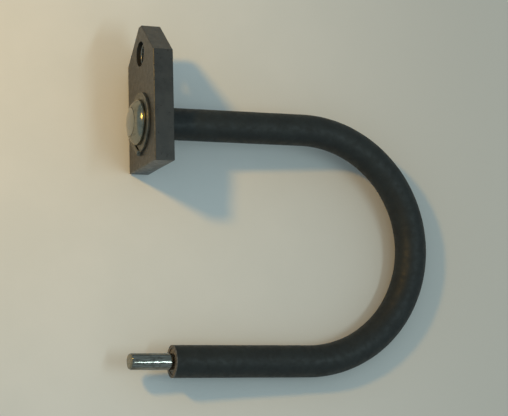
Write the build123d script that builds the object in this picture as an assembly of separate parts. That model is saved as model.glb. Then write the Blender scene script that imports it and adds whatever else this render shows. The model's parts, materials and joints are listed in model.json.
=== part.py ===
"""Optical flame sensor probe: a bent, sheathed light guide with a flange block and a lens head.

Frame: the origin is on the tube's axis at the block's back face. +X runs along both arms
towards the bend, +Y along the block's long side towards its fixing hole, +Z square to the
plane of the bend. Millimetres.
"""

from build123d import *

import os
from math import sqrt

# Mounting block
block_thickness = 6.25
block_width = 26.3
block_top = 30.1
block_bottom = 13.8
block_edge_r = 0.3
crown_width = 2.5
crown_drop = 10.0
fixing_height = 21.4
fixing_hole_r = 3.9
fixing_sleeve_bore_r = 3.3
fixing_sleeve_length = 5.0

# Bent light guide, from the outside in
sheath_r = 5.0
conduit_r = 4.0
conduit_bore_r = 3.1
liner_r = 3.0
liner_bore_r = 2.15
bundle_r = 2.0
bend_r = 36.35
arm_length = 46.55
sheath_end_x = 2.1
conduit_end_x = 3.4

# Tip
tip_end_x = -11.45
tip_r = 2.55
tip_hidden_r = 2.35
tip_bore_r = 2.15
tip_hidden_length = 14.0
tip_rim_r = 0.2
bead_length = 0.6
bead_r = 2.35
bead_edge_r = 0.45
end_plug_depth = 1.2
centring_length = 8.0
tip_seal_recess = 0.3

# Threaded bush and the pieces that clamp it
bush_recess = 0.1
shoulder_r = 8.2
shoulder_thickness = 1.5
thread_r = 6.0
bush_stand_out = 2.0
washer_thickness = 0.8
washer_r = 9.2
tab_width = 10.5
tab_thickness = 1.7
tab_height = 1.3
tab_angle = 38.0
conduit_seat_x = -3.6
mouth_r = 5.3
mouth_floor_x = -5.7
o_ring_section_r = 0.5
o_ring_x = -3.1
pin_r = 0.5
pin_ring_r = 7.2
pin_length = 3.0

# Domed bezel nut and the lens that completes its dome
dome_r = 7.0
dome_height = 3.6
bezel_mouth_r = 4.4
lens_dome_r = 4.35
lens_spigot_r = 5.1
lens_collar = 0.2
seat_ring_section_r = 0.5
seat_ring_r = 4.5
spacer_r = 3.8
spacer_bore_r = 2.6

# Rear ferrule
rear_ferrule_r = 3.0
rear_ferrule_bore_r = 2.05
rear_ferrule_length = 12.0
rear_plug_depth = 0.8
rear_setback = 0.1

# Gap between pieces that slide together, and how far a cutting body runs past what it cuts
slip = 0.05
past = 1.0

# Worked out from the sizes above
front_x = -block_thickness
washer_x = front_x - washer_thickness
bush_end_x = front_x - bush_stand_out
collar_x = bush_end_x - lens_collar
lip_x = collar_x - slip
dome_top_x = washer_x - dome_height
lens_edge_x = washer_x - dome_height * sqrt(1 - (lens_dome_r / dome_r) ** 2)
shoulder_back_x = -bush_recess
shoulder_front_x = shoulder_back_x - shoulder_thickness
lower_y = -2 * bend_r
lens_back_x = mouth_floor_x - 2 * seat_ring_section_r
rear_ferrule_x = mouth_floor_x + rear_setback
rear_plug_end_x = rear_ferrule_x + rear_plug_depth
rear_ferrule_end_x = rear_ferrule_x + rear_ferrule_length
tip_rim_x = tip_end_x + bead_length
tip_plug_end_x = tip_rim_x + end_plug_depth
tip_step_x = sheath_end_x + tip_seal_recess
tip_ferrule_end_x = sheath_end_x + tip_hidden_length
centring_end_x = conduit_end_x + centring_length


def along_x(start_x, end_x, radius, centre_y=0.0):
    """A plain cylinder between two X positions."""
    middle = (start_x + end_x) / 2
    return Pos(middle, centre_y, 0) * Rot(0, 90, 0) * Cylinder(radius, end_x - start_x)


def ring(start_x, end_x, outer_r, inner_r, centre_y=0.0):
    """A straight tube between two X positions."""
    outer = along_x(start_x, end_x, outer_r, centre_y)
    return outer - along_x(start_x - past, end_x + past, inner_r, centre_y)


def torus_x(centre_x, major_r, section_r):
    """A ring of round section around the X axis."""
    return Pos(centre_x, 0, 0) * Rot(0, 90, 0) * Torus(major_r, section_r)


def strip(start_x, end_x, inner_r, outer_r):
    """A rectangle of the half-section that is turned around the X axis."""
    centre = Pos((start_x + end_x) / 2, (inner_r + outer_r) / 2)
    return centre * Rectangle(end_x - start_x, outer_r - inner_r)


def dome_section():
    """Half-section of the head's low dome, solid down to the axis."""
    curve = EllipticalCenterArc((washer_x, 0), dome_height, dome_r, 90, arc_size=90)
    base = Polyline((dome_top_x, 0), (washer_x, 0), (washer_x, dome_r))
    return make_face(Wire([curve, *base.edges()]))


def centreline(top_start_x, lower_end_x):
    """The light guide's centreline: top arm, half-circle, lower arm."""
    top = Line((top_start_x, 0, 0), (arm_length, 0, 0))
    middle = (arm_length + bend_r, -bend_r, 0)
    bend = ThreePointArc((arm_length, 0, 0), middle, (arm_length, lower_y, 0))
    lower = Line((arm_length, lower_y, 0), (lower_end_x, lower_y, 0))
    return Wire([top, bend, lower])


def bent_rod(top_start_x, lower_end_x, radius, bore_r=0.0):
    """A rod or tube swept along the centreline."""
    start = Plane(origin=(top_start_x, 0, 0), x_dir=(0, 1, 0), z_dir=(1, 0, 0))
    section = start * Circle(radius)
    if bore_r > 0:
        section = section - start * Circle(bore_r)
    return sweep(section, path=centreline(top_start_x, lower_end_x))


def locating_pin(clearance=0.0):
    """The pin that keeps the bush from turning, or the hole it needs."""
    start_x = shoulder_front_x - pin_length / 2
    return along_x(start_x, start_x + pin_length, pin_r + clearance, -pin_ring_r)


def mounting_block():
    """House-shaped plate with a stepped bore, a fixing hole and a pin hole."""
    half = block_width / 2
    outline = Polyline(
        (-half, -block_bottom),
        (half, -block_bottom),
        (half, block_top - crown_drop),
        (crown_width / 2, block_top),
        (-crown_width / 2, block_top),
        (-half, block_top - crown_drop),
        close=True,
    )
    front = Plane(origin=(front_x, 0, 0), x_dir=(0, 0, 1), z_dir=(-1, 0, 0))
    plate = extrude(front * make_face(outline), amount=-block_thickness)
    plate = fillet(plate.edges(), block_edge_r)
    plate -= along_x(front_x - past, past, thread_r + slip)
    plate -= along_x(shoulder_front_x, past, shoulder_r + slip)
    plate -= along_x(front_x - past, past, fixing_hole_r, fixing_height)
    return plate - locating_pin(slip)


def threaded_bush():
    """Shouldered bush: the conduit is fixed in its back, the lens sits in its mouth."""
    body = along_x(bush_end_x, shoulder_back_x, thread_r)
    body += along_x(shoulder_front_x, shoulder_back_x, shoulder_r)
    body -= along_x(conduit_seat_x, past, conduit_r)
    body -= along_x(bush_end_x - past, past, rear_ferrule_r + slip)
    body -= along_x(bush_end_x - past, mouth_floor_x, mouth_r)
    groove_half = o_ring_section_r + slip
    groove_floor = thread_r + slip - 2 * o_ring_section_r
    body -= ring(o_ring_x - groove_half, o_ring_x + groove_half, thread_r + past, groove_floor)
    return body - locating_pin(slip)


def tab_washer():
    """Lock washer with one tab turned up beside the bezel nut."""
    washer = ring(washer_x, front_x, washer_r, thread_r + slip)
    tab_centre = dome_r + slip + tab_thickness / 2
    tab = Pos(front_x - tab_height / 2, -tab_centre, 0) * Box(tab_height, tab_thickness, tab_width)
    return washer + Rot(tab_angle, 0, 0) * tab


def bezel_nut():
    """Round domed nut whose inner lip holds the lens in the bush."""
    section = dome_section()
    section -= strip(lip_x, washer_x, 0, thread_r + slip)
    section -= strip(dome_top_x, lip_x, 0, bezel_mouth_r)
    return revolve(section, axis=Axis.X)


def lens():
    """Glass lens: a spigot in the bush, a collar under the nut's lip and a crown in its mouth."""
    crown = TangentArc((dome_top_x, 0), (lens_edge_x, lens_dome_r), tangent=(0, 1))
    base = Polyline(
        (dome_top_x, 0),
        (lens_back_x, 0),
        (lens_back_x, lens_spigot_r),
        (collar_x, lens_spigot_r),
        (collar_x, lens_dome_r),
        (lens_edge_x, lens_dome_r),
    )
    return revolve(make_face(Wire([crown, *base.edges()])), axis=Axis.X)


def tip_ferrule():
    """Thin stainless tube around the fibres' end, stepped down inside the sheath."""
    shown = ring(tip_rim_x, tip_step_x, tip_r, tip_bore_r, lower_y)
    rim = shown.edges().filter_by(GeomType.CIRCLE).group_by(Axis.X)[0].sort_by(SortBy.RADIUS)[-1]
    return fillet(rim, tip_rim_r) + ring(tip_step_x, tip_ferrule_end_x, tip_hidden_r, tip_bore_r, lower_y)


def tip_fibre_end():
    """Fibres' end in epoxy: a plug in the ferrule and a rounded bead over its rim."""
    bead = along_x(tip_end_x, tip_rim_x, bead_r, lower_y)
    outer_edge = bead.edges().filter_by(GeomType.CIRCLE).group_by(Axis.X)[0]
    return fillet(outer_edge, bead_edge_r) + along_x(tip_rim_x, tip_plug_end_x, tip_bore_r, lower_y)


parts = {
    "mounting_block": mounting_block(),
    "fixing_sleeve": ring(-fixing_sleeve_length, 0, fixing_hole_r, fixing_sleeve_bore_r, fixing_height),
    "threaded_bush": threaded_bush(),
    "locating_pin": locating_pin(),
    "bush_o_ring": torus_x(o_ring_x, thread_r + slip - o_ring_section_r, o_ring_section_r),
    "tab_washer": tab_washer(),
    "bezel_nut": bezel_nut(),
    "lens": lens(),
    "lens_cement": ring(bush_end_x, lens_back_x, mouth_r, lens_spigot_r),
    "lens_seat_ring": torus_x(mouth_floor_x - seat_ring_section_r, seat_ring_r, seat_ring_section_r),
    "spacer_ring": ring(lens_back_x, mouth_floor_x, spacer_r, spacer_bore_r),
    "rear_ferrule": ring(rear_ferrule_x, rear_ferrule_end_x, rear_ferrule_r, rear_ferrule_bore_r),
    "rear_fibre_end": along_x(rear_ferrule_x, rear_plug_end_x, rear_ferrule_bore_r),
    "outer_sheath": bent_rod(shoulder_back_x, sheath_end_x, sheath_r, conduit_r),
    "conduit_tube": bent_rod(conduit_seat_x, conduit_end_x, conduit_r, conduit_bore_r),
    "liner_sleeve": bent_rod(rear_ferrule_end_x, tip_ferrule_end_x, liner_r, liner_bore_r),
    "fibre_bundle": bent_rod(rear_plug_end_x, tip_plug_end_x, bundle_r),
    "tip_ferrule": tip_ferrule(),
    "tip_fibre_end": tip_fibre_end(),
    "tip_seal": ring(tip_step_x, conduit_end_x, conduit_r, tip_hidden_r, lower_y),
    "centring_bush": ring(conduit_end_x, centring_end_x, conduit_bore_r, tip_hidden_r, lower_y),
}

os.makedirs("parts", exist_ok=True)
for name, solid in parts.items():
    export_step(solid, f"parts/{name}.step")
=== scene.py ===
"""Looks of the optical flame sensor probe: detailed pieces, materials, floor, light and camera.

Everything is in metres in the frame's own axes: +X along both arms towards the bend, +Y
towards the fixing hole, +Z square to the plane of the bend.
"""

import json
import math

import bmesh
import bpy
from mathutils import Matrix, Vector, noise


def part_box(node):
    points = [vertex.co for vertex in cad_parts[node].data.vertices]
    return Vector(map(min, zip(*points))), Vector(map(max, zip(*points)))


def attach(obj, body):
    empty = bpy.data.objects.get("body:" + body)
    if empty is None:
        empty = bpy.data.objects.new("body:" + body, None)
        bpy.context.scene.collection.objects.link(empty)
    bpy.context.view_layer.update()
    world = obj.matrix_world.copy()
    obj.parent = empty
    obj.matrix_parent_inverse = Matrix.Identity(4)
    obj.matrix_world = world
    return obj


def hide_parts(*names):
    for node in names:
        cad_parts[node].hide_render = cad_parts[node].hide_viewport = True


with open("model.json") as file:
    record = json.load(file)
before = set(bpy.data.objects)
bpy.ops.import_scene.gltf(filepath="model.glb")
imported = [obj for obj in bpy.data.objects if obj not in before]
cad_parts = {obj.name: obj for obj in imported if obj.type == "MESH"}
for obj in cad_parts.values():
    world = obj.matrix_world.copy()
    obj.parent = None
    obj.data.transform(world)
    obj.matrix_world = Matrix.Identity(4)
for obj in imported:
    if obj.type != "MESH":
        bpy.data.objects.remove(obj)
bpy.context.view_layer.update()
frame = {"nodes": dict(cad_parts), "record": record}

MM = 0.001

# Camera
CAMERA_PLACE = Vector((-0.1636, -0.1068, 0.5057))
CAMERA_FORWARD = Vector((0.3532, 0.1489, -0.9236))
CAMERA_UP = Vector((-0.0294, 0.9885, 0.1481))
LENS_MM = 125.26

# Light
KEY_PLACE = Vector((-0.321, 0.161, 0.296))
KEY_AIM = Vector((-0.07, 0.03, 0))
KEY_SIZE = (0.055, 0.055)
KEY_WATTS = 0.17
KEY_SPREAD = 75.0
KEY_COLOUR = (1.0, 0.56, 0.08)
PANEL_PLACE = Vector((0.37, -0.16, 0.95))
PANEL_SIZE = (0.55, 0.07)
PANEL_WATTS = 1.45
PANEL_COLOUR = (0.76, 0.98, 1.0)
SKY_COLOUR = (0.328, 0.412, 0.428)

# Floor: a paper sheet that rises gently under the bend
FLOOR_HALF = 1.5
FLOOR_STEPS = 120
FLOOR_RISE_X = 0.0769
FLOOR_RISE_Y = -0.080
FLOOR_REACH = 0.15

# Sizes taken from the frame
SHEATH_LOW, SHEATH_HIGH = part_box("outer_sheath")
SHEATH_R = SHEATH_HIGH.z
BEND_R = (SHEATH_HIGH.y - SHEATH_LOW.y) / 2 - SHEATH_R
ARM_LENGTH = SHEATH_HIGH.x - BEND_R - SHEATH_R
LOWER_Y = -2 * BEND_R
CONDUIT_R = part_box("conduit_tube")[1].z
SEAL_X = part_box("tip_seal")[0].x
SEAL_RECESS = 0.3 * MM
SHEATH_END_X = SEAL_X - SEAL_RECESS
BLOCK_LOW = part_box("mounting_block")[0]
FRONT_X = BLOCK_LOW.x
DOME_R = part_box("bezel_nut")[1].z
TIP_LOW, TIP_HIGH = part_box("tip_ferrule")
FIXING_LOW, FIXING_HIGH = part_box("fixing_sleeve")

# Sizes of the head, the tip and the fixing sleeve that the frame's boxes do not give
WASHER_THICKNESS = 0.8 * MM
WASHER_X = FRONT_X - WASHER_THICKNESS
WASHER_R = 9.2 * MM
WASHER_BEVEL = 0.12 * MM
DOME_HEIGHT = 3.6 * MM
THREAD_R = 6.05 * MM
BEZEL_MOUTH_R = 4.4 * MM
BEZEL_LIP_DEPTH = 2.25 * MM
LENS_COLLAR_DEPTH = 2.2 * MM
LENS_SPIGOT_R = 5.1 * MM
LENS_CROWN_R = 4.32 * MM
TAB_GAP = 0.05 * MM
TAB_THICKNESS = 1.7 * MM
TAB_HALF_WIDTH = 5.25 * MM
TAB_ANGLE = math.radians(38.0)
TIP_STEP = 0.2 * MM
TIP_WALL = 0.4 * MM
BEAD_EDGE_R = 0.45 * MM
FIXING_BORE_R = 3.3 * MM
FIXING_BEVEL = 0.18 * MM


# ---------------------------------------------------------------- mesh helpers


def make_piece(name, mesh, material, node, sharp=30.0):
    """Turns a mesh into a piece that stands for one CAD node."""
    for face in mesh.polygons:
        face.use_smooth = True
    mesh.set_sharp_from_angle(angle=math.radians(sharp))
    mesh.materials.append(material)
    piece = bpy.data.objects.new(name, mesh)
    bpy.context.scene.collection.objects.link(piece)
    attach(piece, "root")
    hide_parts(node)
    return piece


def round_edges(piece, width, segments=3):
    """Breaks a piece's hard edges."""
    bevel = piece.modifiers.new("edges", "BEVEL")
    bevel.width = width
    bevel.segments = segments
    bevel.limit_method = "ANGLE"
    bevel.angle_limit = math.radians(35)
    return piece


def mesh_from(name, bm):
    bmesh.ops.recalc_face_normals(bm, faces=bm.faces)
    mesh = bpy.data.meshes.new(name)
    bm.to_mesh(mesh)
    bm.free()
    return mesh


def bridge(bm, rings, closed):
    """Joins rows of vertices with faces; a row of one repeated vertex is a pole."""
    pairs = list(zip(rings, rings[1:]))
    if closed:
        pairs.append((rings[-1], rings[0]))
    for near, far in pairs:
        count = len(near)
        for i in range(count):
            j = (i + 1) % count
            corners = list(dict.fromkeys((near[i], near[j], far[j], far[i])))
            if len(corners) > 2:
                bm.faces.new(corners)


def turned(bm, outline, centre_y=0.0, steps=96, shift=None):
    """Turns an outline of (x, radius) points around an axis along X."""
    rings = []
    for x, radius in outline:
        if radius == 0:
            rings.append([bm.verts.new((x, centre_y, 0))] * steps)
            continue
        row = []
        for i in range(steps):
            turn = 2 * math.pi * i / steps
            place = Vector((x, centre_y + radius * math.cos(turn), radius * math.sin(turn)))
            if shift:
                place += shift(place)
            row.append(bm.verts.new(place))
        rings.append(row)
    bridge(bm, rings, closed=outline[0][1] > 0)


def dome_outline(start_r, end_r, count):
    """Points of the head's elliptical dome between two radii."""
    points = []
    for i in range(count + 1):
        radius = start_r + (end_r - start_r) * i / count
        height = DOME_HEIGHT * math.sqrt(max(0.0, 1 - (radius / DOME_R) ** 2))
        points.append((WASHER_X - height, radius))
    return points


# ---------------------------------------------------------------- materials


class Graph:
    """A material's node tree, with short calls to add to it."""

    def __init__(self, name):
        self.material = bpy.data.materials.new(name)
        self.material.use_nodes = True
        self.tree = self.material.node_tree
        self.shader = self.tree.nodes["Principled BSDF"]
        self.place = self.add("ShaderNodeTexCoord").outputs["Object"]

    def add(self, kind, settings=None, **inputs):
        node = self.tree.nodes.new(kind)
        for key, value in (settings or {}).items():
            setattr(node, key, value)
        for key, value in inputs.items():
            self.put(node, key.replace("_", " "), value)
        return node

    def put(self, node, socket, value):
        if isinstance(value, bpy.types.NodeSocket):
            self.tree.links.new(value, node.inputs[socket])
        else:
            node.inputs[socket].default_value = value

    def stretched(self, scale):
        """Object coordinates scaled unevenly, for streaks."""
        return self.add("ShaderNodeMapping", Vector=self.place, Scale=scale).outputs["Vector"]

    def noise(self, size_mm, detail=3.0, rough=0.55, place=None):
        """Cloudy noise whose features are about size_mm across."""
        scale = 1.0 / (size_mm * MM)
        node = self.add(
            "ShaderNodeTexNoise",
            Vector=place or self.place,
            Scale=scale,
            Detail=detail,
            Roughness=rough,
        )
        return node.outputs["Fac"]

    def cells(self, size_mm):
        """Distance from the middle of cells about size_mm across."""
        node = self.add("ShaderNodeTexVoronoi", Vector=self.place, Scale=1.0 / (size_mm * MM))
        return node.outputs["Distance"]

    def remap(self, value, low, high, to_low=0.0, to_high=1.0):
        node = self.add("ShaderNodeMapRange", {"interpolation_type": "SMOOTHSTEP"}, Value=value)
        self.put(node, "From Min", low)
        self.put(node, "From Max", high)
        self.put(node, "To Min", to_low)
        self.put(node, "To Max", to_high)
        return node.outputs["Result"]

    def math(self, operation, first, second=0.0):
        node = self.add("ShaderNodeMath", {"operation": operation})
        self.put(node, 0, first)
        self.put(node, 1, second)
        return node.outputs["Value"]

    def blend(self, amount, first, second):
        node = self.add("ShaderNodeMix", {"data_type": "RGBA"})
        self.put(node, "Factor", amount)
        for socket, value in zip((6, 7), (first, second)):
            colour = value if isinstance(value, bpy.types.NodeSocket) else (*value, 1.0)
            self.put(node, socket, colour)
        return node.outputs[2]

    def axis(self, name):
        node = self.add("ShaderNodeSeparateXYZ", Vector=self.place)
        return node.outputs[name]

    def bump(self, height, depth_mm, below=None):
        node = self.add("ShaderNodeBump", Height=height, Distance=depth_mm * MM)
        if below:
            self.put(node, "Normal", below)
        return node.outputs["Normal"]

    def finish(self, colour, roughness, metallic=0.0, normal=None, **sockets):
        self.put(self.shader, "Base Color", colour)
        self.put(self.shader, "Roughness", roughness)
        self.put(self.shader, "Metallic", metallic)
        if normal:
            self.put(self.shader, "Normal", normal)
        for key, value in sockets.items():
            self.put(self.shader, key.replace("_", " "), value)
        return self.material


def shade(colour, factor):
    return tuple(channel * factor for channel in colour)


def block_plastic():
    """Dark glass-filled moulding: fine spark texture, dust, and paler rubbed edges."""
    g = Graph("block_plastic")
    body = (0.020, 0.0185, 0.0155)
    cloud = g.remap(g.noise(4.0), 0.35, 0.65)
    colour = g.blend(cloud, shade(body, 0.82), shade(body, 1.18))
    specks = g.remap(g.noise(0.22, detail=2.0), 0.66, 0.76)
    colour = g.blend(g.math("MULTIPLY", specks, 0.35), colour, (0.16, 0.145, 0.12))
    far_out = g.remap(g.math("ABSOLUTE", g.axis("Z")), 12.75 * MM, 13.1 * MM)
    near_front = g.remap(g.axis("X"), FRONT_X + 0.32 * MM, FRONT_X + 0.02 * MM)
    low = g.remap(g.axis("Y"), BLOCK_LOW.y + 0.4 * MM, BLOCK_LOW.y + 0.05 * MM)
    corner = g.math("MULTIPLY", near_front, g.math("MAXIMUM", far_out, low))
    worn = g.math("MULTIPLY", corner, g.remap(g.noise(1.1), 0.42, 0.6, 0.15, 0.7))
    colour = g.blend(worn, colour, (0.15, 0.14, 0.115))
    roughness = g.remap(g.noise(1.6, detail=4.0), 0.3, 0.7, 0.27, 0.40)
    grain = g.bump(g.noise(0.16, detail=2.0), 0.012)
    waves = g.bump(g.noise(6.0, detail=1.0), 0.05, below=grain)
    return g.finish(colour, roughness, normal=waves, Specular_IOR_Level=0.6)


def sheath_rubber():
    """Black heat-shrink sleeve: pores, low lumps, matt scuffs, fine dust and a raw cut end."""
    g = Graph("sheath_rubber")
    body = (0.0085, 0.0115, 0.0115)
    cloud = g.remap(g.noise(5.0, detail=4.0), 0.35, 0.65)
    colour = g.blend(cloud, shade(body, 0.8), shade(body, 1.2))
    dust = g.remap(g.noise(0.18, detail=1.0), 0.7, 0.8)
    colour = g.blend(g.math("MULTIPLY", dust, 0.4), colour, (0.13, 0.13, 0.12))
    scuff = g.remap(g.noise(2.2, detail=5.0, rough=0.65), 0.55, 0.7)
    colour = g.blend(g.math("MULTIPLY", scuff, 0.25), colour, (0.024, 0.027, 0.026))
    at_cut = g.remap(g.axis("X"), SHEATH_END_X + 0.35 * MM, SHEATH_END_X + 0.1 * MM)
    lower_arm = g.remap(g.axis("Y"), LOWER_Y + 8 * MM, LOWER_Y + 6 * MM)
    crumbs = g.remap(g.noise(0.5, detail=5.0, rough=0.7), 0.35, 0.65)
    raw = g.blend(crumbs, (0.06, 0.052, 0.045), (0.19, 0.165, 0.14))
    colour = g.blend(g.math("MULTIPLY", at_cut, lower_arm), colour, raw)
    roughness = g.remap(g.noise(1.8, detail=3.0), 0.3, 0.7, 0.50, 0.66)
    pores = g.bump(g.noise(0.12, detail=2.0), 0.008)
    lumps = g.bump(g.noise(3.0, detail=2.0), 0.05, below=pores)
    return g.finish(colour, roughness, normal=lumps, Specular_IOR_Level=0.45)


def nut_plated():
    """Plating with hair scratches, smudges, pits and a slightly wavy polish."""
    g = Graph("nut_plated")
    body = (0.27, 0.262, 0.215)
    smudge = g.remap(g.noise(1.6, detail=4.0), 0.45, 0.7)
    colour = g.blend(smudge, body, shade(body, 0.72))
    pits = g.remap(g.cells(0.9), 0.10, 0.05)
    colour = g.blend(g.math("MULTIPLY", pits, 0.5), colour, (0.10, 0.09, 0.07))
    roughness = g.remap(g.noise(1.1, detail=5.0, rough=0.7), 0.35, 0.7, 0.14, 0.30)
    hair = g.noise(0.35, detail=2.0, place=g.stretched((1.0, 0.15, 1.0)))
    fine = g.bump(hair, 0.003)
    waves = g.bump(g.noise(3.2, detail=0.0), 0.06, below=fine)
    return g.finish(colour, roughness, 1.0, waves)


def washer_zinc():
    """Dulled zinc: spangle, patches of dirt and fine lines."""
    g = Graph("washer_zinc")
    spangle = g.remap(g.cells(0.7), 0.1, 0.5)
    colour = g.blend(spangle, (0.13, 0.125, 0.105), (0.21, 0.20, 0.17))
    dirt = g.remap(g.noise(1.2, detail=5.0, rough=0.65), 0.52, 0.68)
    colour = g.blend(g.math("MULTIPLY", dirt, 0.7), colour, (0.07, 0.064, 0.05))
    roughness = g.remap(g.noise(0.8, detail=4.0), 0.3, 0.7, 0.32, 0.5)
    lines = g.noise(0.25, detail=2.0, place=g.stretched((1.0, 0.2, 1.0)))
    return g.finish(colour, roughness, 1.0, g.bump(lines, 0.006))


def ferrule_stainless():
    """Drawn stainless tube: lengthwise streaks, heat-dulled patches, fine scratches."""
    g = Graph("ferrule_stainless")
    streak = g.remap(g.noise(0.3, detail=3.0, place=g.stretched((0.08, 1.0, 1.0))), 0.35, 0.65)
    colour = g.blend(streak, (0.16, 0.155, 0.135), (0.30, 0.295, 0.27))
    patch = g.remap(g.noise(1.8, detail=5.0, rough=0.65), 0.48, 0.7)
    colour = g.blend(g.math("MULTIPLY", patch, 0.6), colour, (0.07, 0.062, 0.050))
    roughness = g.remap(g.noise(1.2, detail=4.0), 0.3, 0.7, 0.06, 0.13)
    lines = g.noise(0.14, detail=2.0, place=g.stretched((0.05, 1.0, 1.0)))
    return g.finish(colour, roughness, 1.0, g.bump(lines, 0.003))


def fibre_face():
    """Polished fibre ends packed in amber epoxy."""
    g = Graph("fibre_face")
    fibres = g.remap(g.cells(0.11), 0.25, 0.55)
    colour = g.blend(fibres, (0.30, 0.285, 0.215), (0.17, 0.15, 0.10))
    stain = g.remap(g.noise(1.0, detail=3.0), 0.45, 0.7)
    colour = g.blend(g.math("MULTIPLY", stain, 0.5), colour, (0.13, 0.10, 0.055))
    roughness = g.remap(g.noise(0.5), 0.3, 0.7, 0.22, 0.4)
    return g.finish(colour, roughness, normal=g.bump(fibres, 0.004))


def potting_compound():
    """Crumbly cured sealant with pale and rust-coloured grains."""
    g = Graph("potting_compound")
    cloud = g.remap(g.noise(0.6, detail=5.0, rough=0.7), 0.35, 0.65)
    colour = g.blend(cloud, (0.10, 0.088, 0.075), (0.30, 0.265, 0.22))
    rust = g.remap(g.noise(0.35, detail=2.0), 0.62, 0.7)
    colour = g.blend(g.math("MULTIPLY", rust, 0.7), colour, (0.34, 0.15, 0.05))
    return g.finish(colour, 0.85, normal=g.bump(g.noise(0.25, detail=5.0, rough=0.7), 0.12))


def lens_glass():
    """Smoky coated glass with a fine film of dust."""
    g = Graph("lens_glass")
    film = g.remap(g.noise(0.9, detail=5.0, rough=0.65), 0.5, 0.72)
    colour = g.blend(g.math("MULTIPLY", film, 0.5), (0.25, 0.245, 0.195), (0.19, 0.18, 0.14))
    roughness = g.remap(g.noise(0.5, detail=4.0), 0.4, 0.7, 0.03, 0.12)
    waves = g.bump(g.noise(3.2, detail=0.0), 0.03)
    g.put(g.shader, "IOR", 1.7)
    g.put(g.shader, "Transmission Weight", 0.35)
    g.put(g.shader, "Coat Weight", 1.0)
    g.put(g.shader, "Coat Roughness", 0.04)
    return g.finish(colour, roughness, 0.55, waves)


def turned_metal(name, body, low_rough, high_rough, metallic=1.0):
    """Turned metal: rings around the X axis and slight tarnish."""
    g = Graph(name)
    tool = g.noise(0.12, detail=2.0, place=g.stretched((1.0, 0.12, 0.12)))
    tarnish = g.remap(g.noise(1.4, detail=4.0), 0.4, 0.7)
    colour = g.blend(g.math("MULTIPLY", tarnish, 0.6), body, shade(body, 0.55))
    roughness = g.remap(g.noise(0.8, detail=3.0), 0.3, 0.7, low_rough, high_rough)
    return g.finish(colour, roughness, metallic, g.bump(tool, 0.006))


def moulded(name, body, low_rough, high_rough, grain_mm, depth_mm):
    """Moulded rubber, sleeve or adhesive with its own grain."""
    g = Graph(name)
    cloud = g.remap(g.noise(grain_mm * 8, detail=4.0), 0.35, 0.65)
    colour = g.blend(cloud, shade(body, 0.8), shade(body, 1.15))
    roughness = g.remap(g.noise(grain_mm * 5), 0.3, 0.7, low_rough, high_rough)
    return g.finish(colour, roughness, normal=g.bump(g.noise(grain_mm, detail=3.0), depth_mm))


def paper():
    """Matt paper with a faint tooth, and painted shade that darkens it towards +X where the light falls
    off.
    """
    g = Graph("floor_paper")
    cloud = g.remap(g.noise(25.0, detail=4.0), 0.3, 0.7)
    colour = g.blend(cloud, (0.735, 0.735, 0.725), (0.765, 0.76, 0.75))
    # Painted shade: the paper's colour darkens towards +X in place of the light falling off.
    painted_falloff_shade = g.remap(g.axis("X"), 0.0, 0.12)
    colour = g.blend(painted_falloff_shade, colour, (0.62, 0.60, 0.57))
    return g.finish(colour, 0.9, normal=g.bump(g.noise(0.5, detail=3.0), 0.02))


looks = {
    "block_plastic": block_plastic(),
    "sheath_rubber": sheath_rubber(),
    "nut_plated": nut_plated(),
    "washer_zinc": washer_zinc(),
    "ferrule_stainless": ferrule_stainless(),
    "fibre_face": fibre_face(),
    "potting_compound": potting_compound(),
    "lens_glass": lens_glass(),
    "sleeve_steel": turned_metal("sleeve_steel", (0.33, 0.325, 0.30), 0.22, 0.38),
    "bush_brass": turned_metal("bush_brass", (0.62, 0.46, 0.20), 0.25, 0.42),
    "pin_steel": turned_metal("pin_steel", (0.55, 0.55, 0.55), 0.2, 0.32),
    "spacer_aluminium": turned_metal("spacer_aluminium", (0.06, 0.06, 0.065), 0.4, 0.55),
    "conduit_steel": turned_metal("conduit_steel", (0.50, 0.50, 0.50), 0.3, 0.45),
    "seal_rubber": moulded("seal_rubber", (0.02, 0.02, 0.02), 0.45, 0.6, 0.15, 0.01),
    "optical_cement": moulded("optical_cement", (0.42, 0.36, 0.24), 0.3, 0.5, 0.3, 0.02),
    "liner_ptfe": moulded("liner_ptfe", (0.75, 0.75, 0.73), 0.45, 0.6, 0.25, 0.01),
    "fibre_glass": moulded("fibre_glass", (0.62, 0.64, 0.60), 0.15, 0.3, 0.1, 0.02),
}


# ---------------------------------------------------------------- detailed pieces


def sheath_stations(spacing):
    """(centre, sideways direction) at even steps from the block round the bend to the tip."""
    stations = []
    top = ARM_LENGTH - SHEATH_LOW.x
    arc = math.pi * BEND_R
    low = ARM_LENGTH - SHEATH_END_X
    count = round((top + arc + low) / spacing)
    for i in range(count + 1):
        run = (top + arc + low) * i / count
        if run <= top:
            stations.append((Vector((SHEATH_LOW.x + run, 0, 0)), Vector((0, 1, 0))))
        elif run <= top + arc:
            turn = (run - top) / BEND_R
            out = Vector((math.sin(turn), math.cos(turn), 0))
            stations.append((Vector((ARM_LENGTH, -BEND_R, 0)) + out * BEND_R, out))
        else:
            x = ARM_LENGTH - (run - top - arc)
            stations.append((Vector((x, LOWER_Y, 0)), Vector((0, -1, 0))))
    return stations


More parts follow.
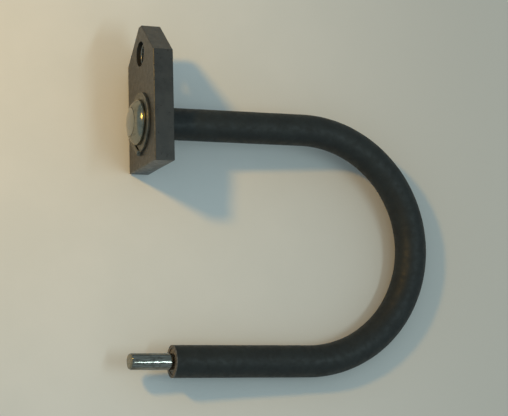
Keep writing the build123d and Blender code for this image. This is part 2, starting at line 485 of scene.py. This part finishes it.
def outer_sheath(steps=72):
    """Shrunk sleeve: a slightly uneven skin round the bend, with a rough knife-cut end."""
    bm = bmesh.new()
    rings = []
    upright = Vector((0, 0, 1))

    def row(centre, side, radius, roughness=0.0):
        verts = []
        for i in range(steps):
            turn = 2 * math.pi * i / steps
            out = side * math.cos(turn) + upright * math.sin(turn)
            place = centre + out * radius
            dent = 0.5 + 0.5 * noise.noise(place / (4 * MM))
            place = place - out * dent * 0.06 * MM * (radius > CONDUIT_R)
            torn = noise.fractal(place / (0.8 * MM), 1.0, 2.0, 3)
            verts.append(bm.verts.new(place + Vector((torn * roughness, 0, 0))))
        return verts

    stations = sheath_stations(0.8 * MM)
    for centre, side in stations:
        rings.append(row(centre, side, SHEATH_R))
    centre, side = stations[-1]
    cut_depth = 0.12 * MM
    rim_inset = 0.08 * MM
    wall = SHEATH_R - CONDUIT_R
    for part in (0.06, 0.3, 0.55, 0.8, 0.98):
        inset = Vector((rim_inset if part < 0.1 else 0.0, 0, 0))
        cut_centre = centre - inset + Vector((cut_depth, 0, 0))
        rings.append(row(cut_centre, side, SHEATH_R - wall * part, cut_depth))
    for centre, side in reversed(stations[::4]):
        rings.append(row(centre, side, CONDUIT_R))
    bridge(bm, rings, closed=True)
    mesh = mesh_from("outer_sheath_skin", bm)
    look = looks["sheath_rubber"]
    return make_piece("outer_sheath_skin", mesh, look, "outer_sheath", 50.0)


def bezel_nut():
    """Domed plated nut with a thin rolled lip round the lens."""
    bm = bmesh.new()
    lip_x = FRONT_X - BEZEL_LIP_DEPTH
    outline = [(lip_x, THREAD_R), (WASHER_X, THREAD_R), (WASHER_X, DOME_R - 0.35 * MM)]
    outline += [(WASHER_X - 0.12 * MM, DOME_R - 0.3 * MM), (WASHER_X - 0.18 * MM, DOME_R - 0.05 * MM)]
    outline += [(WASHER_X - 0.26 * MM, DOME_R), (WASHER_X - 0.8 * MM, DOME_R)]
    outline += [(WASHER_X - 0.92 * MM, DOME_R - 0.04 * MM)]
    outline += dome_outline(DOME_R - 0.26 * MM, BEZEL_MOUTH_R + 0.12 * MM, 26)
    outline += [(outline[-1][0] + 0.08 * MM, BEZEL_MOUTH_R), (lip_x, BEZEL_MOUTH_R)]
    turned(bm, outline, steps=144)
    mesh = mesh_from("bezel_nut_plated", bm)
    return make_piece("bezel_nut_plated", mesh, looks["nut_plated"], "bezel_nut", 40.0)


def lens():
    """Glass crown that completes the dome, on its collar and spigot."""
    bm = bmesh.new()
    back_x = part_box("lens")[1].x
    collar_x = FRONT_X - LENS_COLLAR_DEPTH
    outline = [(back_x, 0), (back_x, LENS_SPIGOT_R), (collar_x, LENS_SPIGOT_R), (collar_x, LENS_CROWN_R)]
    outline += dome_outline(LENS_CROWN_R, 0.0, 24)
    turned(bm, outline, steps=144)
    mesh = mesh_from("lens_crown", bm)
    return make_piece("lens_crown", mesh, looks["lens_glass"], "lens", 40.0)


def tab_washer():
    """Lock washer: a rounded ring and one upturned tab."""
    bm = bmesh.new()
    outline = [(FRONT_X, THREAD_R), (FRONT_X, WASHER_R), (WASHER_X, WASHER_R), (WASHER_X, THREAD_R)]
    turned(bm, outline, steps=128)
    top_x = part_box("tab_washer")[0].x
    tab_near = DOME_R + TAB_GAP
    tab_far = tab_near + TAB_THICKNESS
    shoulder = 0.25 * MM
    inset = 0.1 * MM
    taper = 0.96
    turn = Matrix.Rotation(TAB_ANGLE, 4, "X")
    columns = []
    for side in (-TAB_HALF_WIDTH, TAB_HALF_WIDTH):
        top_side = side * taper
        foot = [(FRONT_X, -tab_far, side), (FRONT_X, -tab_near, side)]
        head = [(top_x + shoulder, -tab_near, side), (top_x, -tab_near - inset, top_side)]
        head += [(top_x, -tab_far + inset, top_side), (top_x + shoulder, -tab_far, side)]
        columns.append([bm.verts.new(turn @ Vector(place)) for place in foot + head])
    count = len(columns[0])
    for i in range(count):
        j = (i + 1) % count
        bm.faces.new((columns[0][i], columns[0][j], columns[1][j], columns[1][i]))
    bm.faces.new(columns[0])
    bm.faces.new(columns[1])
    mesh = mesh_from("tab_washer_zinc", bm)
    piece = make_piece("tab_washer_zinc", mesh, looks["washer_zinc"], "tab_washer")
    return round_edges(piece, WASHER_BEVEL)


def tip_ferrule():
    """Drawn tube with a rolled rim, stepped down inside the sheath."""
    bm = bmesh.new()
    shown_r = TIP_HIGH.z
    hidden_r = shown_r - TIP_STEP
    bore_r = shown_r - TIP_WALL
    rim = 0.2 * MM
    rim_steps = 4
    length_steps = 24
    outline = [(TIP_LOW.x, bore_r), (TIP_LOW.x, shown_r - rim)]
    for i in range(1, rim_steps + 1):
        turn = math.pi / 2 * i / rim_steps
        outline.append((TIP_LOW.x + rim * (1 - math.cos(turn)), shown_r - rim * (1 - math.sin(turn))))
    length = SEAL_X - TIP_LOW.x
    for i in range(1, length_steps):
        outline.append((TIP_LOW.x + rim + (length - rim) * i / length_steps, shown_r))
    outline += [(SEAL_X, shown_r), (SEAL_X, hidden_r), (TIP_HIGH.x, hidden_r), (TIP_HIGH.x, bore_r)]

    def dents(place):
        out = Vector((0, place.y - LOWER_Y, place.z))
        if out.length < bore_r + 0.05 * MM or place.x > SEAL_X:
            return Vector()
        return -out.normalized() * (0.5 + 0.5 * noise.noise(place / (1.6 * MM))) * 0.03 * MM

    turned(bm, outline, LOWER_Y, steps=80, shift=dents)
    mesh = mesh_from("tip_ferrule_drawn", bm)
    look = looks["ferrule_stainless"]
    return make_piece("tip_ferrule_drawn", mesh, look, "tip_ferrule", 40.0)


def tip_fibre_end():
    """Bead of epoxy and fibre ends: a rounded, slightly uneven button over the rim."""
    bm = bmesh.new()
    low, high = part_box("tip_fibre_end")
    rim_x = TIP_LOW.x
    bead_r = high.z
    plug_r = TIP_HIGH.z - TIP_WALL
    edge_steps = 6
    outline = [(low.x, 0)]
    outline += [(low.x, bead_r * part) for part in (0.2, 0.4, 0.6, 0.75)]
    for i in range(edge_steps + 1):
        turn = math.pi / 2 * i / edge_steps
        edge_x = low.x + BEAD_EDGE_R * (1 - math.cos(turn))
        outline.append((edge_x, bead_r - BEAD_EDGE_R * (1 - math.sin(turn))))
    outline += [(rim_x, bead_r), (rim_x, plug_r), (high.x, plug_r), (high.x, 0)]

    def lumps(place):
        if place.x >= rim_x - 0.1 * MM:
            return Vector()
        depth = 0.5 + 0.5 * noise.noise(place / (1.1 * MM))
        return Vector((depth * 0.09 * MM, 0, 0))

    turned(bm, outline, LOWER_Y, steps=72, shift=lumps)
    mesh = mesh_from("tip_fibre_bead", bm)
    return make_piece("tip_fibre_bead", mesh, looks["fibre_face"], "tip_fibre_end", 60.0)


def tip_seal():
    """Crumbly ring of sealant between the ferrule and the conduit."""
    bm = bmesh.new()
    low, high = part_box("tip_seal")
    inner_r = TIP_HIGH.z - TIP_STEP
    outer_r = high.z
    face_x = low.x + 0.1 * MM
    face_steps = 8
    outline = [(high.x, inner_r), (face_x, inner_r)]
    for i in range(1, face_steps):
        outline.append((face_x, inner_r + (outer_r - inner_r) * i / face_steps))
    outline += [(face_x, outer_r), (high.x, outer_r)]

    def crumble(place):
        if place.x > low.x + 0.2 * MM:
            return Vector()
        lift = noise.fractal(place / (0.5 * MM), 1.0, 2.0, 4)
        return Vector((lift * 0.16 * MM, 0, 0))

    turned(bm, outline, LOWER_Y, steps=96, shift=crumble)
    mesh = mesh_from("tip_seal_crumbs", bm)
    look = looks["potting_compound"]
    return make_piece("tip_seal_crumbs", mesh, look, "tip_seal", 180.0)


def fixing_sleeve():
    """Steel compression sleeve with softly rolled ends."""
    bm = bmesh.new()
    centre_y = (FIXING_LOW.y + FIXING_HIGH.y) / 2
    outer_r = FIXING_HIGH.z
    outline = [(FIXING_HIGH.x, FIXING_BORE_R), (FIXING_HIGH.x, outer_r)]
    outline += [(FIXING_LOW.x, outer_r), (FIXING_LOW.x, FIXING_BORE_R)]
    turned(bm, outline, centre_y)
    mesh = mesh_from("fixing_sleeve_rolled", bm)
    piece = make_piece("fixing_sleeve_rolled", mesh, looks["sleeve_steel"], "fixing_sleeve")
    return round_edges(piece, FIXING_BEVEL)


# ---------------------------------------------------------------- stage


def place_camera():
    """A long lens looking down on the probe from its lower left."""
    data = bpy.data.cameras.new("camera")
    data.sensor_width = 36.0
    data.lens = LENS_MM
    data.clip_start = 0.01
    camera = bpy.data.objects.new("camera", data)
    back = -CAMERA_FORWARD.normalized()
    right = CAMERA_UP.cross(back).normalized()
    up = back.cross(right)
    turn = Matrix((right, up, back)).transposed().to_4x4()
    camera.matrix_world = Matrix.Translation(CAMERA_PLACE) @ turn
    bpy.context.scene.collection.objects.link(camera)
    bpy.context.scene.camera = camera


def area_light(name, place, aim, size, watts, colour, spread=180.0):
    """An elliptical lamp that faces a point, size being its width and its length."""
    data = bpy.data.lights.new(name, "AREA")
    data.shape = "ELLIPSE"
    data.size, data.size_y = size
    data.energy = watts
    data.color = colour
    data.spread = math.radians(spread)
    light = bpy.data.objects.new(name, data)
    light.location = place
    light.rotation_euler = (place - aim).to_track_quat("Z", "Y").to_euler()
    bpy.context.scene.collection.objects.link(light)


def sky():
    """Cool even light from all round."""
    world = bpy.data.worlds.new("world")
    world.use_nodes = True
    background = world.node_tree.nodes["Background"]
    background.inputs["Color"].default_value = (*SKY_COLOUR, 1.0)
    background.inputs["Strength"].default_value = 1.0
    bpy.context.scene.world = world


def floor():
    """A tilted sheet of paper that meets the block's lowest edge and, a little too high, the bend."""
    bm = bmesh.new()
    rest = BLOCK_LOW.z
    bmesh.ops.create_grid(bm, x_segments=FLOOR_STEPS, y_segments=FLOOR_STEPS, size=FLOOR_HALF)
    for vert in bm.verts:
        along_x = FLOOR_REACH * math.tanh(vert.co.x / FLOOR_REACH)
        along_y = FLOOR_REACH * math.tanh((vert.co.y - BLOCK_LOW.y) / FLOOR_REACH)
        vert.co.z = rest + FLOOR_RISE_X * along_x + FLOOR_RISE_Y * along_y
    mesh = mesh_from("floor", bm)
    for face in mesh.polygons:
        face.use_smooth = True
    mesh.materials.append(paper())
    sheet = bpy.data.objects.new("floor", mesh)
    bpy.context.scene.collection.objects.link(sheet)


bpy.context.scene.view_settings.view_transform = "Standard"
place_camera()
area_light("key", KEY_PLACE, KEY_AIM, KEY_SIZE, KEY_WATTS, KEY_COLOUR, KEY_SPREAD)
area_light("panel", PANEL_PLACE, Vector(), PANEL_SIZE, PANEL_WATTS, PANEL_COLOUR)
sky()
floor()

slot_of = {part["node"]: part["material_slot"] for part in frame["record"]["subparts"]}
for name, node in frame["nodes"].items():
    node.data.materials.clear()
    node.data.materials.append(looks[slot_of[name]])

head_pieces = (bezel_nut, lens, tab_washer)
tip_pieces = (tip_ferrule, tip_fibre_end, tip_seal)
for make in (outer_sheath, *head_pieces, *tip_pieces, fixing_sleeve):
    make()
